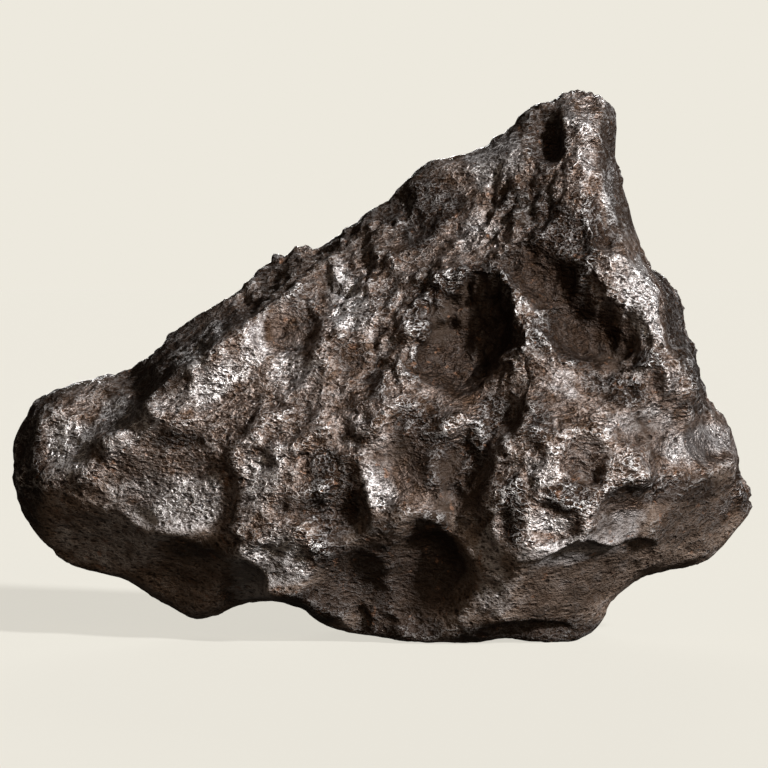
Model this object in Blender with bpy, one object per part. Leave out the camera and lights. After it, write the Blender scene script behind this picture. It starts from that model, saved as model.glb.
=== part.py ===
"""Iron meteorite: one solid mass of metal, standing on the flattened spots of its base.

The mass is a closed cage of hand-placed points: an outline seen from the front, a front sheet and a
back sheet. The cage is remeshed and smoothed to a stone-like body, which then gets broad lumps and
scooped hollows with crisp rims. The base is ground level at z = 0, and the origin is at its centre.
Lists of points are in millimetres: x to the right, y away from the front, z up.
"""
import bpy
import numpy as np
from mathutils import Vector, noise
from mathutils.geometry import delaunay_2d_cdt

MM = 0.001

# Driving dimensions, in metres
LENGTH = 0.250
DEPTH = 0.132
HEIGHT = 0.184
BODY_TRIANGLES = 9000

# How the body is made from its cage, in millimetres
VOXEL = 2.0
SMOOTH_ROUNDS = 3
SWELL = 1.0
LUMP_HEIGHT = 1.5
LUMP_LENGTH = 26.0
RIM_SOFTNESS = 0.8
RIM_WANDER = 0.25
EDGE_INSET = 2.5
BASE_HALF_WIDTH = 22
FOOT_LEVEL = 1.2
FOOT_SNAP = 0.25

# x, z, y of the middle of the edge, half width of the edge across y; clockwise from the peak
outline = [
    (65, 187.5, 2, 5), (72, 187, 2, 6), (77.5, 182, 2, 7), (79, 172, 3, 9), (79.5, 160, 3, 10),
    (83, 149, 3, 11), (86, 138, 3, 12), (89, 131, 3, 12), (97, 123, 3, 12), (101, 118, 2, 12),
    (104, 107, 2, 12), (108, 97, 2, 12), (108, 87, 2, 13), (110, 80, 2, 13), (117, 74, 2, 12),
    (120, 68, 2, 12), (122, 58, 2, 12), (125.5, 48, 2, 10), (123, 42, 2, 11), (117, 35, 2, 12),
    (108, 28, 2, 13), (98, 24.5, 2, 14), (88, 22, 2, 15), (81, 18, 2, 17), (76, 14, 2, 20),
    (72, 9, 2, 24), (66, 5.5, 1, 28), (58, 4, 0, 31), (50, 4, 0, 32), (38, 5.5, 0, 33),
    (26, 5, -1, 34), (12, 4, -2, 34), (2, 5, -2, 32), (-8, 6, -2, 29), (-16, 8, -2, 26),
    (-22, 10.5, -2, 23), (-27, 13.5, -3, 20), (-35, 15.5, -3, 18), (-44, 15.5, -3, 17),
    (-52, 13.5, -3, 15), (-59, 10, -3, 13), (-65, 8.5, -3, 11), (-71, 11.5, -3, 10), (-79, 16, -3, 10),
    (-89, 22, -3, 10), (-99, 25, -3, 10), (-106, 27, -3, 9), (-113, 31, -3, 8), (-120.5, 39, -3, 8),
    (-125, 47, -3, 8), (-127, 56, -3, 9), (-127, 64, -3, 9), (-125.5, 72, -3, 8), (-121, 79, -3, 8),
    (-112, 86, -3, 8), (-102, 89.5, -2, 8), (-90, 92.5, -2, 8), (-82, 96.5, -2, 8), (-76, 101.5, -2, 7),
    (-71, 107.5, -2, 7), (-62, 114.5, -1, 7), (-52, 121, -1, 7), (-44, 126, 0, 7), (-38, 132, 0, 7),
    (-30, 134, 0, 8), (-21, 133, 0, 7), (-16, 138.5, 0, 6), (-6, 146, 0, 6), (2, 152, 0, 5),
    (8, 158, 0, 5), (15, 164, 0, 5), (24, 165, 0, 6), (32, 168, 0, 6), (41, 174.5, 0, 5),
    (49, 181.5, 0, 5), (56, 184.5, 1, 5),
]

# Ridges and valleys of the front sheet, each a run of (x, z, y)
front_lines = [
    # the keel, the foremost edge, above the faces that turn under
    [(-114, 51, -22), (-105, 48, -26), (-94, 46, -31), (-82, 44, -36), (-70, 43, -39), (-57, 45, -41),
     (-49, 42, -45), (-44, 38, -48), (-36, 36, -50), (-27, 35, -51), (-19, 36, -50), (-10, 46, -54),
     (0, 50, -58), (13, 50, -59), (23, 48, -56), (33, 40, -57), (43, 37, -60), (56, 37, -61),
     (67, 39, -60), (79, 40, -57), (88, 46, -52), (96, 56, -45), (107, 61, -35), (115, 63, -25)],
    # the edge that climbs from the left end to the shoulder, and the gully behind it
    [(-102, 61, -31), (-96, 66, -35), (-89, 72, -39), (-82, 78, -42), (-76, 84, -43), (-71, 90, -42),
     (-65, 96, -41), (-57, 102, -40), (-49, 107, -38), (-40, 113, -35), (-33, 118, -31),
     (-26, 124, -26), (-20, 129, -20)],
    [(-97, 76, -24), (-91, 81, -22), (-85, 86, -20), (-80, 91, -18)],
    # the blunt edge of the left end
    [(-115, 58, -23), (-117, 65, -23), (-116, 72, -22), (-112, 79, -19)],
    # the step in front of the right block, and the valley to its left
    [(40, 121, -41), (42, 110, -45), (44, 99, -48), (47, 89, -51), (46, 79, -54), (41, 70, -56),
     (36, 62, -58), (31, 54, -59), (28, 47, -59)],
    [(40, 92, -40), (40, 83, -42), (34, 72, -44), (27, 63, -46), (22, 54, -48)],
    # the step in front of the middle, and the valley to its left
    [(-55, 70, -41), (-50, 63, -44), (-48, 55, -46), (-48, 48, -46)],
    [(-60, 68, -37), (-56, 60, -39), (-54, 52, -41)],
    # the edge that falls from the peak
    [(68, 183, -8), (70, 177, -16), (71, 166, -23), (73, 152, -29), (75, 141, -33), (79, 132, -35)],
]

# Single points of the front sheet: faces under the keel, then rows going up
front_spots = [
    (-101, 35, -17), (-90, 31, -20), (-76, 26, -22), (-65, 17, -20), (-61, 30, -31), (-51, 31, -40),
    (-50, 22, -36), (-42, 22, -45), (-34, 21, -48), (-25, 21, -47), (-14, 11, -34), (-2, 9, -37),
    (10, 7, -39), (22, 7, -39), (34, 11, -43), (46, 12, -48), (58, 11, -48), (68, 15, -44),
    (77, 23, -36), (88, 30, -31), (102, 36, -20), (114, 43, -13), (30, 24, -46), (16, 24, -44),
    (0, 26, -44), (-12, 28, -42), (50, 25, -54), (65, 26, -52), (82, 33, -44), (95, 44, -34),
    (107, 51, -26), (-88, 58, -37), (-72, 60, -38), (-38, 58, -48), (-27, 61, -50), (-17, 62, -51),
    (-3, 64, -55), (12, 66, -55), (19, 64, -54), (54, 66, -60), (64, 66, -59), (80, 65, -55),
    (93, 67, -47), (105, 70, -37), (113, 69, -28), (-62, 78, -40), (-47, 79, -41), (-33, 81, -45),
    (-19, 83, -46), (-4, 84, -48), (12, 85, -49), (28, 84, -50), (60, 82, -55), (76, 80, -52),
    (93, 80, -42), (104, 81, -31), (-52, 92, -37), (-38, 98, -35), (-21, 100, -40), (-4, 102, -42),
    (10, 106, -43), (28, 108, -43), (60, 100, -47), (73, 94, -48), (84, 90, -47), (93, 99, -39),
    (102, 98, -30), (94, 88, -44), (103, 88, -33), (-30, 110, -30), (-14, 116, -31), (4, 122, -31),
    (20, 127, -34), (34, 128, -39), (56, 122, -38), (64, 118, -38), (70, 110, -41), (80, 103, -42),
    (77, 127, -40), (85, 124, -38), (92, 119, -32), (87, 111, -41), (95, 108, -31), (-8, 132, -20),
    (8, 139, -20), (22, 146, -21), (30, 138, -29), (40, 148, -27), (52, 140, -34), (60, 150, -31),
    (62, 176, -16), (64, 160, -26), (50, 166, -17), (42, 166, -16), (34, 160, -14), (24, 155, -13),
    (12, 149, -12), (-107, 68, -20), (-104, 80, -17), (-95, 85, -14), (-68, 103, -14),
    (-59, 107, -15), (-50, 113, -14), (-41, 121, -12), (-32, 127, -12), (-24, 129.5, -11),
]

back_lines = [
    # the spine that climbs to the peak
    [(-112, 58, 14), (-92, 60, 24), (-72, 66, 32), (-50, 74, 40), (-26, 84, 46), (-4, 96, 48),
     (18, 110, 46), (36, 128, 38), (50, 148, 28), (60, 168, 17)],
    # the edge above the faces that turn under
    [(-66, 18, 10), (-50, 26, 22), (-30, 28, 32), (-8, 24, 42), (14, 26, 50), (38, 28, 56),
     (60, 32, 56), (82, 38, 50), (100, 48, 38), (114, 54, 24)],
]

back_spots = [
    (-96, 40, 14), (-80, 40, 22), (-56, 46, 32), (-32, 54, 42), (-6, 58, 52), (20, 62, 58),
    (44, 66, 62), (66, 70, 58), (88, 74, 44), (104, 70, 30), (50, 100, 54), (72, 100, 46),
    (90, 100, 32), (64, 126, 36), (78, 134, 24), (70, 152, 18), (-96, 74, 14), (-76, 84, 18),
    (-56, 98, 20), (-38, 112, 20), (-22, 122, 20), (-4, 132, 20), (14, 146, 16), (34, 160, 14),
    (-24, 16, 28), (-6, 6, 34), (10, 4, 38), (30, 4, 40), (50, 4, 40), (64, 8, 38), (78, 22, 34),
    (96, 32, 26), (28, 88, 56), (4, 76, 54),
]

# Scooped hollows: side, centre across and up, width, height, turn in degrees, depth
hollows = [
    # broad faces, cut nearly flat so that they meet in edges
    ("front", -64, 107, 34, 10, 38, 1.5), ("front", -92, 79, 20, 14, 30, 2.5),
    ("front", -83, 89, 11, 16, -35, 3), ("front", -96, 36, 34, 24, -20, 2.5),
    ("front", -67, 27, 34, 26, 0, 3.5), ("front", 64, 20, 66, 24, 8, 2),
    ("front", 106, 46, 34, 20, 14, 1.5), ("front", -34, 30, 24, 16, 0, 2),
    ("front", 20, 138, 34, 26, 30, 2.5), ("front", 48, 146, 26, 34, 0, 2),
    ("front", 60, 86, 30, 20, -10, 2), ("front", 90, 74, 34, 20, 0, 2.5),
    ("front", -60, 84, 34, 18, 20, 2), ("front", -20, 84, 34, 22, -20, 2.5),
    # the left end and the left half
    ("front", -78, 57, 44, 28, -6, 2), ("front", -54, 53, 9, 28, -14, 2),
    ("front", -107, 68, 16, 18, 0, 2), ("front", -89, 79, 9, 9, 0, 1.5), ("front", -34, 106, 21, 24, -10, 5.5),
    ("front", -20, 122, 10, 16, 10, 3.5), ("front", -45, 117, 14, 8, 38, 2),
    ("front", -12, 96, 14, 20, 0, 3), ("front", -49, 24, 12, 24, 0, 1.5),
    ("front", -31, 47, 18, 13, -10, 3.5), ("front", -26, 61, 16, 13, -30, 4),
    ("front", -14, 72, 13, 12, 0, 3), ("front", -14, 48, 18, 22, 22, 4.5),
    # the bowl in the middle and the great hollow under it
    ("front", 5, 63, 29, 28, 0, 4.5), ("front", 3, 77, 9, 8, 0, 2),
    ("front", 4, 26, 50, 36, 12, 4), ("front", 14, 26, 32, 42, -16, 9),
    ("front", 19, 37, 15, 14, 0, 4), ("front", -11, 22, 26, 24, 0, 4),
    ("front", -9, 11, 8, 11, 10, 3), ("front", 0, 9, 9, 8, 0, 2),
    # the pit, and the gully that runs down from it
    ("front", 26, 104, 33, 44, -6, 13), ("front", 25, 96, 20, 22, 0, 3),
    ("front", 26, 60, 17, 36, -24, 6), ("front", 37, 44, 10, 16, 0, 2),
    ("front", 41, 80, 9, 18, -16, 3),
    # the right shoulder and the right block
    ("front", 56, 122, 38, 20, -48, 8), ("front", 71, 105, 38, 21, -26, 9),
    ("front", 60, 108, 14, 16, 0, 3), ("front", 76, 86, 13, 10, -20, 3.5),
    ("front", 90, 90, 6, 14, 0, 3), ("front", 65, 64, 15, 24, 10, 3.5),
    ("front", 55, 45, 17, 14, -10, 1.5), ("front", 79, 48, 24, 24, 0, 2.5),
    ("front", 109, 69, 22, 17, 0, 3), ("front", 84, 76, 20, 12, 0, 2),
    # the peak
    ("front", 9, 143, 24, 14, 28, 2.5), ("front", 54, 171, 11, 20, 0, 5),
    ("front", 73, 137, 12, 7, 0, 4), ("front", 33, 152, 18, 18, 20, 2),
    ("front", 48, 8, 34, 7, 0, 3),
    ("back", -100, 60, 24, 26, 10, 4), ("back", -82, 50, 26, 18, -20, 4),
    ("back", -84, 72, 22, 14, 20, 3), ("back", -62, 44, 22, 26, 10, 5),
    ("back", -60, 66, 26, 20, 30, 4), ("back", -56, 88, 34, 18, 36, 5),
    ("back", -36, 58, 24, 34, -12, 6), ("back", -40, 36, 22, 16, 0, 4),
    ("back", -30, 92, 22, 26, 20, 5), ("back", -30, 116, 26, 14, 20, 3),
    ("back", -10, 74, 26, 22, -30, 6), ("back", -12, 46, 26, 24, 15, 7),
    ("back", -6, 108, 24, 28, 30, 5), ("back", -16, 24, 24, 14, -20, 4),
    ("back", 14, 58, 24, 30, -10, 6), ("back", 16, 88, 30, 24, 24, 8),
    ("back", 12, 126, 26, 20, 40, 4), ("back", 18, 30, 28, 18, 0, 5),
    ("back", 40, 72, 24, 22, 12, 5), ("back", 44, 100, 36, 28, 35, 9),
    ("back", 36, 46, 20, 20, 0, 4), ("back", 40, 140, 24, 22, 50, 5),
    ("back", 50, 20, 34, 14, 0, 4), ("back", 62, 54, 30, 26, -25, 7),
    ("back", 66, 84, 26, 32, 10, 7), ("back", 64, 122, 24, 30, 20, 6),
    ("back", 58, 160, 16, 26, 25, 4), ("back", 84, 44, 22, 18, 20, 4),
    ("back", 88, 68, 22, 24, -10, 5), ("back", 86, 100, 18, 26, 10, 4),
    ("back", 104, 52, 22, 20, 0, 4), ("back", 22, 112, 12, 12, 0, 3),
    ("back", 76, 66, 9, 9, 0, 2), ("back", -24, 76, 10, 12, 0, 2.5),
    ("back", 26, 70, 10, 10, 0, 2), ("back", -50, 54, 10, 10, 0, 2),
    ("left", 0, 58, 16, 22, 0, 1), ("right", 0, 58, 18, 24, 0, 3), ("right", 2, 100, 16, 26, 0, 3),
    ("right", -6, 158, 10, 30, 0, 2), ("under", 34, 0, 30, 40, 0, 7), ("under", -40, 0, 26, 24, 0, 3),
    ("under", 4, -6, 26, 26, 0, 4), ("under", 88, 0, 24, 20, 0, 3), ("top", -58, 0, 22, 14, 0, 2),
]

# Across, up and into the mass, for each side that a hollow is cut from
sides = {
    "front": ((1, 0, 0), (0, 0, 1), (0, 1, 0)),
    "back": ((1, 0, 0), (0, 0, 1), (0, -1, 0)),
    "left": ((0, 1, 0), (0, 0, 1), (1, 0, 0)),
    "right": ((0, 1, 0), (0, 0, 1), (-1, 0, 0)),
    "under": ((1, 0, 0), (0, 1, 0), (0, 0, 1)),
    "top": ((1, 0, 0), (0, 1, 0), (0, 0, -1)),
}


def clear_scene():
    for item in list(bpy.data.objects):
        bpy.data.objects.remove(item, do_unlink=True)


def sheet_triangles(ridges, spots):
    """Points of one sheet and the triangles between them and the outline."""
    flat = inset_outline()
    rim = len(flat)
    points = []
    edges = []
    for ridge in ridges:
        first = rim + len(points)
        points.extend(ridge)
        edges.extend((first + i, first + i + 1) for i in range(len(ridge) - 1))
    points.extend(spots)
    flat.extend(Vector((x, z)) for x, z, _ in points)
    result = delaunay_2d_cdt(flat, edges, [list(range(rim))[::-1]], 1, 1e-5)
    source = [origin[0] for origin in result[3]]
    triangles = [[source[i] for i in face] for face in result[2]]
    return points, triangles


def inset_outline():
    """The outline drawn in, where the front and back sheets begin; the wide base stays level."""
    flat = [Vector((x, z)) for x, z, _, _ in outline]
    inset = []
    for i, point in enumerate(flat):
        run = (flat[(i + 1) % len(flat)] - flat[i - 1]).normalized()
        half = outline[i][3]
        inset.append(point + Vector((run.y, -run.x)) * (EDGE_INSET if half < BASE_HALF_WIDTH else 0))
    return inset


def add_sheet(vertices, faces, ridges, spots, rim_start, facing_front):
    """Append a sheet that hangs on the outline points that start at rim_start."""
    points, triangles = sheet_triangles(ridges, spots)
    rim = len(outline)
    inner_start = len(vertices)
    vertices.extend((x, y, z) for x, z, y in points)
    for triangle in triangles:
        face = [rim_start + i if i < rim else inner_start + i - rim for i in triangle]
        a, b, c = [Vector((vertices[i][0], vertices[i][2])) for i in face]
        anticlockwise = (b - a).cross(c - a) > 0
        if anticlockwise != facing_front:
            face.reverse()
        faces.append(face)


def cage_mesh():
    """The closed cage: a sheet on each side, joined by a band that is fullest along the outline."""
    rim = len(outline)
    inset = inset_outline()
    vertices = [(p.x, y - half, p.y) for p, (_, _, y, half) in zip(inset, outline)]
    vertices += [(x, y, z) for x, z, y, _ in outline]
    vertices += [(p.x, y + half, p.y) for p, (_, _, y, half) in zip(inset, outline)]
    faces = []
    for i in range(2 * rim):
        j = i + 1 if (i + 1) % rim else i + 1 - rim
        faces.append([i, j, rim + j, rim + i])
    add_sheet(vertices, faces, front_lines, front_spots, 0, True)
    add_sheet(vertices, faces, back_lines, back_spots, 2 * rim, False)
    mesh = bpy.data.meshes.new("cage")
    mesh.from_pydata([Vector(v) * MM for v in vertices], [], faces)
    mesh.validate()
    return mesh


def evaluated_mesh(item):
    graph = bpy.context.evaluated_depsgraph_get()
    return bpy.data.meshes.new_from_object(item.evaluated_get(graph), depsgraph=graph)


def with_modifier(mesh, kind, **settings):
    """The mesh as one modifier leaves it."""
    item = bpy.data.objects.new("work", mesh)
    bpy.context.scene.collection.objects.link(item)
    modifier = item.modifiers.new(kind.lower(), kind)
    for name, value in settings.items():
        setattr(modifier, name, value)
    result = evaluated_mesh(item)
    bpy.data.objects.remove(item)
    return result


def read_points(mesh):
    points = np.empty(len(mesh.vertices) * 3)
    mesh.vertices.foreach_get("co", points)
    return points.reshape(-1, 3) / MM


def read_normals(mesh):
    mesh.update()
    normals = np.empty(len(mesh.vertices) * 3)
    mesh.vertex_normals.foreach_get("vector", normals)
    return normals.reshape(-1, 3)


def write_points(mesh, points):
    mesh.vertices.foreach_set("co", (points * MM).ravel())
    mesh.update()


def read_edges(mesh):
    edges = np.empty(len(mesh.edges) * 2, dtype=np.int64)
    mesh.edges.foreach_get("vertices", edges)
    return edges.reshape(-1, 2)


def smoothed(points, edges, rounds):
    """Move each point halfway to the mean of its neighbours, several times."""
    count = len(points)
    both = np.concatenate([edges, edges[:, ::-1]])
    degree = np.bincount(both[:, 0], minlength=count)
    for _ in range(rounds):
        neighbours = points[both[:, 1]]
        mean = np.stack([np.bincount(both[:, 0], neighbours[:, k], count) / degree for k in range(3)], 1)
        points = (points + mean) / 2
    return points


def add_lumps(points, normals):
    heights = [noise.noise(Vector(p) / LUMP_LENGTH) for p in points]
    return points + normals * (np.array(heights) * LUMP_HEIGHT)[:, None]


def wander(points):
    """A slow variation from -1 to 1 that keeps the rims from being true ellipses."""
    return np.array([noise.noise(Vector(p) / 14.0 + Vector((7.1, 3.3, 5.7))) for p in points])


def scoop(points, normals, drift, hollow):
    """Cut one bowl into the side that it is seen from, down from the mean plane of its rim."""
    side, across, up, width, height, turn, depth = hollow
    right, rise, into = (np.array(v, float) for v in sides[side])
    u = points @ right - across
    v = points @ rise - up
    angle = np.radians(turn)
    along = (u * np.cos(angle) + v * np.sin(angle)) / (width / 2)
    over = (v * np.cos(angle) - u * np.sin(angle)) / (height / 2)
    reach = np.hypot(along, over) * (1 + RIM_WANDER * drift)
    facing = normals @ -into > 0.1
    ring = facing & (reach > 0.8) & (reach < 1.2)
    if ring.sum() < 6:
        return points
    out = normals[facing & (reach < 1.2)].mean(0)
    out /= np.linalg.norm(out)
    level = points @ out
    terms = np.stack([np.ones(ring.sum()), u[ring], v[ring]], 1)
    plane = np.linalg.lstsq(terms, level[ring], rcond=None)[0]
    bowl = plane[0] + plane[1] * u + plane[2] * v + depth * (reach ** 2 - 1)
    gap = (level - bowl) / RIM_SOFTNESS
    cut = RIM_SOFTNESS * np.logaddexp(0, gap)
    near = (reach < 1.5) & (normals @ out > -0.1) & (np.abs(level - plane[0]) < 30)
    fade = np.clip((1.5 - reach) / 0.3, 0, 1)
    return points - out * (cut * fade * near)[:, None]


def fitted(points):
    """Scale to the driving dimensions, flatten the feet and centre the origin under the mass."""
    points = points.copy()
    floor = points[:, 2].min() + FOOT_LEVEL
    points[:, 2] = np.maximum(points[:, 2] - floor, 0)
    size = np.array([LENGTH, DEPTH, HEIGHT]) / MM
    low, high = points.min(0), points.max(0)
    centre = np.array([(low[0] + high[0]) / 2, (low[1] + high[1]) / 2, 0])
    return (points - centre) * size / (high - low)


def body_mesh():
    body = with_modifier(cage_mesh(), "REMESH", mode="VOXEL", voxel_size=VOXEL * MM)
    points = smoothed(read_points(body), read_edges(body), SMOOTH_ROUNDS)
    write_points(body, points)
    points = points + read_normals(body) * SWELL
    write_points(body, points)
    points = add_lumps(points, read_normals(body))
    write_points(body, points)
    normals = read_normals(body)
    drift = wander(points)
    for hollow in hollows:
        points = scoop(points, normals, drift, hollow)
    write_points(body, fitted(points))
    return body


def reduced(mesh):
    """Fewer triangles for the solid, with the feet kept level."""
    triangles = sum(len(face.vertices) - 2 for face in mesh.polygons)
    result = with_modifier(mesh, "DECIMATE", ratio=BODY_TRIANGLES / triangles, use_collapse_triangulate=True)
    points = read_points(result)
    points[points[:, 2] < FOOT_SNAP, 2] = 0
    write_points(result, points)
    return result


def iron_material():
    material = bpy.data.materials.new("iron")
    material.use_nodes = True
    shader = material.node_tree.nodes["Principled BSDF"]
    shader.inputs["Base Color"].default_value = (0.075, 0.062, 0.053, 1)
    shader.inputs["Metallic"].default_value = 0.85
    shader.inputs["Roughness"].default_value = 0.42
    return material


def main():
    clear_scene()
    mesh = reduced(body_mesh())
    mesh.name = "meteorite"
    mesh.materials.clear()
    mesh.materials.append(iron_material())
    meteorite = bpy.data.objects.new("meteorite", mesh)
    bpy.context.scene.collection.objects.link(meteorite)


main()
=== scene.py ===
# Iron meteorite: the dense surface and its finish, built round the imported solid.
# Lengths in the point lists are millimetres; the mesh itself is in metres.
import math
import bpy
import numpy as np
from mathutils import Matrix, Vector, noise
from mathutils.geometry import delaunay_2d_cdt


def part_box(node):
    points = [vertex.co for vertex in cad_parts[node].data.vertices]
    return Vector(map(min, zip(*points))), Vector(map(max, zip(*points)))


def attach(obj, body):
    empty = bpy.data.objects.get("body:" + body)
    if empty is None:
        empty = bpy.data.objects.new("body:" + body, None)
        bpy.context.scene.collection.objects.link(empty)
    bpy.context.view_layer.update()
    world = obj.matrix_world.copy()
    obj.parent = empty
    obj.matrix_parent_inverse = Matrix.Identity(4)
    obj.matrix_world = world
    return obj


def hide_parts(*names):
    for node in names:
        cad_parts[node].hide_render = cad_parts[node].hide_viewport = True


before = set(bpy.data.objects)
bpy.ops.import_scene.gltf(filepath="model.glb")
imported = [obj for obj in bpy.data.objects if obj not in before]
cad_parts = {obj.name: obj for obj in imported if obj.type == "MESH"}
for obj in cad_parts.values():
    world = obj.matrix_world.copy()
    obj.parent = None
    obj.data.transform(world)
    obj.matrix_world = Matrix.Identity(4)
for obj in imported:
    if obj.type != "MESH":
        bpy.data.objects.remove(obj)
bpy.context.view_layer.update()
mm = 0.001

# what a user would change on the body, in mm, parts of a width, or counts
body = {
    "voxel": 2.42,  # size of the skin's faces, which are then halved
    "smoothRounds": 2,
    "swell": 1.0,  # makes up for what the smoothing takes off
    "lumpHeight": 1.5,
    "lumpLength": 26.0,
    "rimSoftness": 0.35,  # how round the rim of a hollow is
    "rimWander": 0.25,  # how far a rim strays from an oval
    "rimBand": (0.8, 1.2),  # the ring that gives a hollow its plane, 1 being the rim
    "rimFadeEnd": 1.5,  # nothing is cut further out than this
    "rimFadeWidth": 0.3,
    "driftLength": 14.0,  # how slowly the rims wander
    "hollowLean": 0.1,  # how much deeper a hollow is at one side
    "fullySunk": 6.0,  # a depth that counts as the bottom of a hollow
    "edgeInset": 2.5,  # how far both sheets stop short of the outline
    "baseHalfWidth": 22,  # edges as wide as this are not drawn in
    "smallHollows": 420,  # places tried, the calm and sideways ones being left out
    "smallHollowWidth": (6.0, 17.0),
    "smallHollowDepth": (0.07, 0.12),
    "smallHollowStretch": (0.7, 1.3),
    "seed": 11,
    "footLevel": 1.2,  # how much is levelled where the mass stands
    "facingRounds": 40,  # smoothing that leaves only the broad faces
    "paintedShadeWay": (-0.82, 0.1, 0.57),  # faces turned this way get painted shade
    "backPatchLength": 22.0,
    "backPatchStrength": 1.6,
}

# x, z, y of the middle of the edge, half width of the edge across y; clockwise from the peak
outline = [
    (65, 187.5, 2, 5), (72, 187, 2, 6), (77.5, 182, 2, 7), (79, 172, 3, 9), (79.5, 160, 3, 10),
    (83, 149, 3, 11), (86, 138, 3, 12), (89, 131, 3, 12), (97, 123, 3, 12), (101, 118, 2, 12),
    (104, 107, 2, 12), (108, 97, 2, 12), (108, 87, 2, 13), (110, 80, 2, 13), (117, 74, 2, 12),
    (120, 68, 2, 12), (122, 58, 2, 12), (125.5, 48, 2, 10), (123, 42, 2, 11), (117, 35, 2, 12),
    (108, 28, 2, 13), (98, 24.5, 2, 14), (88, 22, 2, 15), (81, 18, 2, 17), (76, 14, 2, 20),
    (72, 9, 2, 24), (66, 5.5, 1, 28), (58, 4, 0, 31), (50, 4, 0, 32), (38, 5.5, 0, 33),
    (26, 5, -1, 34), (12, 4, -2, 34), (2, 5, -2, 32), (-8, 6, -2, 29), (-16, 8, -2, 26),
    (-22, 10.5, -2, 23), (-27, 13.5, -3, 20), (-35, 15.5, -3, 18), (-44, 15.5, -3, 17),
    (-52, 13.5, -3, 15), (-59, 10, -3, 13), (-65, 8.5, -3, 11), (-71, 11.5, -3, 10), (-79, 16, -3, 10),
    (-89, 22, -3, 10), (-99, 25, -3, 10), (-106, 27, -3, 9), (-113, 31, -3, 8), (-120.5, 39, -3, 8),
    (-125, 47, -3, 8), (-127, 56, -3, 9), (-127, 64, -3, 9), (-125.5, 72, -3, 8), (-121, 79, -3, 8),
    (-112, 86, -3, 8), (-102, 89.5, -2, 8), (-90, 92.5, -2, 8), (-82, 96.5, -2, 8), (-76, 101.5, -2, 7),
    (-71, 107.5, -2, 7), (-62, 114.5, -1, 7), (-52, 121, -1, 7), (-44, 126, 0, 7), (-38, 132, 0, 7),
    (-30, 134, 0, 8), (-21, 133, 0, 7), (-16, 138.5, 0, 6), (-6, 146, 0, 6), (2, 152, 0, 5),
    (8, 158, 0, 5), (15, 164, 0, 5), (24, 165, 0, 6), (32, 168, 0, 6), (41, 174.5, 0, 5),
    (49, 181.5, 0, 5), (56, 184.5, 1, 5),
]

# Ridges and valleys of the front sheet, each a run of (x, z, y)
frontLines = [
    # the keel, the foremost edge, above the faces that turn under
    [(-114, 51, -22), (-105, 48, -26), (-94, 46, -31), (-82, 44, -36), (-70, 43, -39), (-57, 45, -41),
     (-49, 42, -45), (-44, 38, -48), (-36, 36, -50), (-27, 35, -51), (-19, 36, -50), (-10, 46, -54),
     (0, 50, -58), (13, 50, -59), (23, 48, -56), (33, 40, -57), (43, 37, -60), (56, 37, -61),
     (67, 39, -60), (79, 40, -57), (88, 46, -52), (96, 56, -45), (107, 61, -35), (115, 63, -25)],
    # the edge that climbs from the left end to the shoulder, and the gully behind it
    [(-102, 61, -31), (-96, 66, -35), (-89, 72, -39), (-82, 78, -42), (-76, 84, -43), (-71, 90, -42),
     (-65, 96, -41), (-57, 102, -40), (-49, 107, -38), (-40, 113, -35), (-33, 118, -31),
     (-26, 124, -26), (-20, 129, -20)],
    [(-97, 76, -24), (-91, 81, -22), (-85, 86, -20), (-80, 91, -18)],
    # the blunt edge of the left end
    [(-115, 58, -23), (-117, 65, -23), (-116, 72, -22), (-112, 79, -19)],
    # the step in front of the right block, and the valley to its left
    [(40, 121, -41), (42, 110, -45), (44, 99, -48), (47, 89, -51), (46, 79, -54), (41, 70, -56),
     (36, 62, -58), (31, 54, -59), (28, 47, -59)],
    [(40, 92, -40), (40, 83, -42), (34, 72, -44), (27, 63, -46), (22, 54, -48)],
    # the step in front of the middle, and the valley to its left
    [(-55, 70, -41), (-50, 63, -44), (-48, 55, -46), (-48, 48, -46)],
    [(-60, 68, -37), (-56, 60, -39), (-54, 52, -41)],
    # the edge that falls from the peak
    [(68, 183, -8), (70, 177, -16), (71, 166, -23), (73, 152, -29), (75, 141, -33), (79, 132, -35)],
]

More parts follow.
